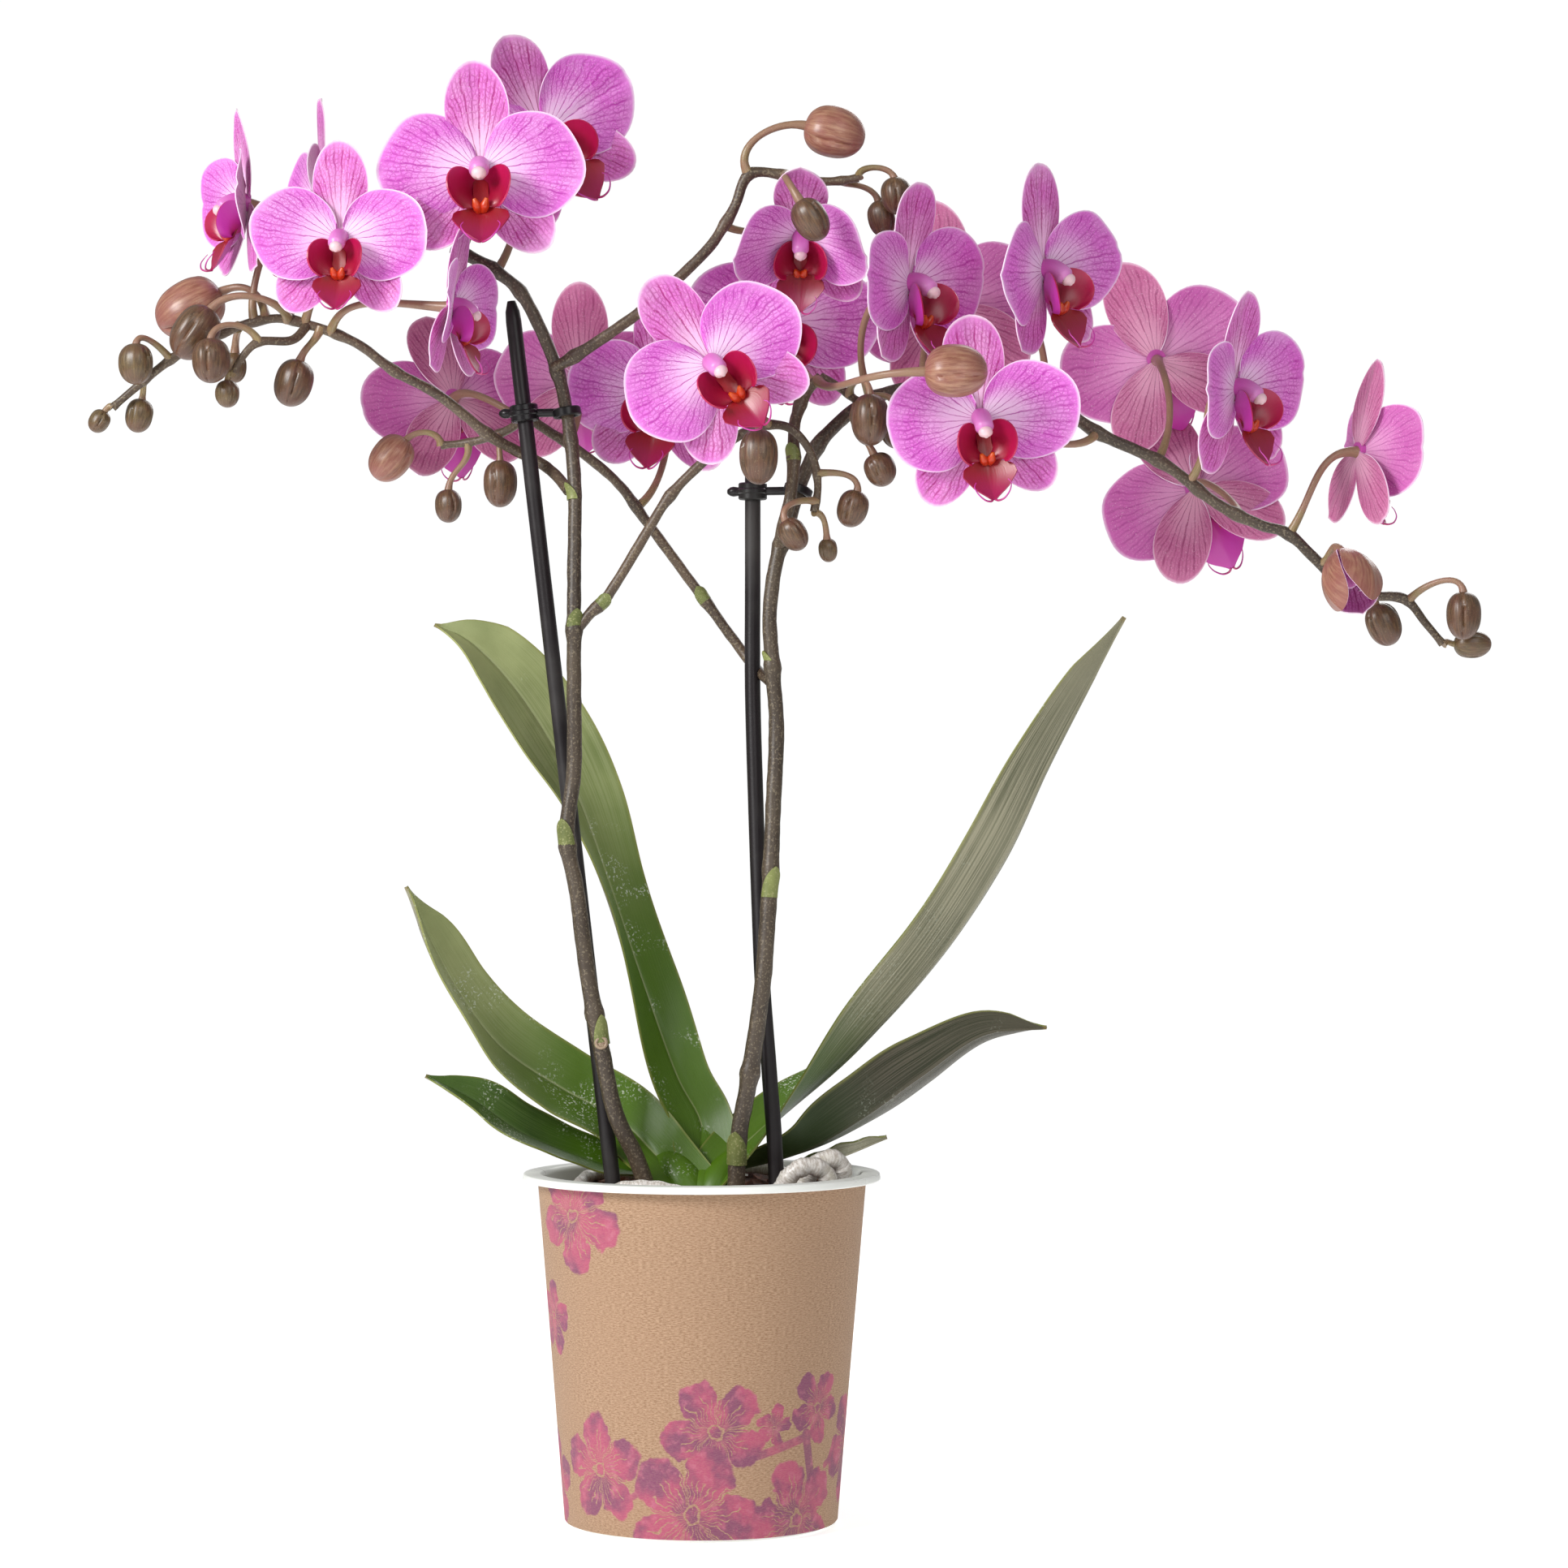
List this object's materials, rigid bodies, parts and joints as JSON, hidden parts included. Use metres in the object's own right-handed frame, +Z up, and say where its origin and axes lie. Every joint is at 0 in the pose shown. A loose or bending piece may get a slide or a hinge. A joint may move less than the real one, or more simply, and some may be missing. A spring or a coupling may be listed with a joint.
{
  "type": "potted orchid",
  "caption": "Moth orchid with two staked, branching flower spikes, open magenta flowers and buds, in a paper-sleeved plastic pot.",
  "frame": {"origin": "middle of the cover pot's flat underside, where it stands", "axes": "+Z up; -Y is the side that the flowers in front look towards; +X is to a viewer's right"},
  "size_m": [0.4105, 0.1136, 0.4333],
  "materials": {
    "kraft_paper": "uncoated kraft paper with a printed floral motif",
    "white_plastic": "semi-gloss",
    "clear_plastic": "clear, slightly cloudy",
    "bark": "rough bark chips",
    "leaf": "waxy leaf",
    "stem": "satin green-brown stem",
    "bud": "satin, fine lengthwise veins",
    "petal": "soft, veined, slightly translucent",
    "black_plastic": "satin",
    "root": "silvery, papery skin"
  },
  "bodies": {
    "root": {"aerial_root_left": "root", "aerial_root_right": "root", "bark_medium": "bark", "bud_centre_large": "bud", "bud_left_hanging": "bud", "bud_left_large": "bud", "bud_left_second": "bud", "bud_left_small": "bud", "bud_right_opening": "bud", "bud_top_hanging": "bud", "bud_top_large": "bud", "clip_left": "black_plastic", "clip_right": "black_plastic", "cover_pot": "white_plastic", "cross_branch_left": "stem", "cross_branch_right": "stem", "crown": "leaf", "flower_centre_back": "petal", "flower_centre_front": "petal", "flower_centre_left": "petal", "flower_crown_back": "petal", "flower_crown_front": "petal", "flower_left_back": "petal", "flower_left_end": "petal", "flower_left_front": "petal", "flower_left_inner": "petal", "flower_low_left_turned": "petal", "flower_mid_left_turned": "petal", "flower_right_end": "petal", "flower_right_first": "petal", "flower_right_low": "petal", "flower_right_second": "petal", "flower_right_third": "petal", "flower_right_turned_first": "petal", "flower_right_turned_low": "petal", "flower_right_turned_second": "petal", "flower_top_hanging": "petal", "leaf_left_curled": "leaf", "leaf_left_low": "leaf", "leaf_left_tall": "leaf", "leaf_right_long": "leaf", "leaf_right_low": "leaf", "leaf_right_small": "leaf", "left_arm": "stem", "nursery_pot": "clear_plastic", "paper_sleeve": "kraft_paper", "spike_left": "stem", "spike_right": "stem", "spray_centre": "bud", "spray_left_side": "bud", "spray_left_tip": "bud", "spray_low_left": "bud", "spray_right_tip": "bud", "spray_top_tip": "bud", "spray_upright_tip": "bud", "stake_left": "black_plastic", "stake_right": "black_plastic", "top_branch": "stem", "upright_branch": "stem"}
  },
  "joints": []
}
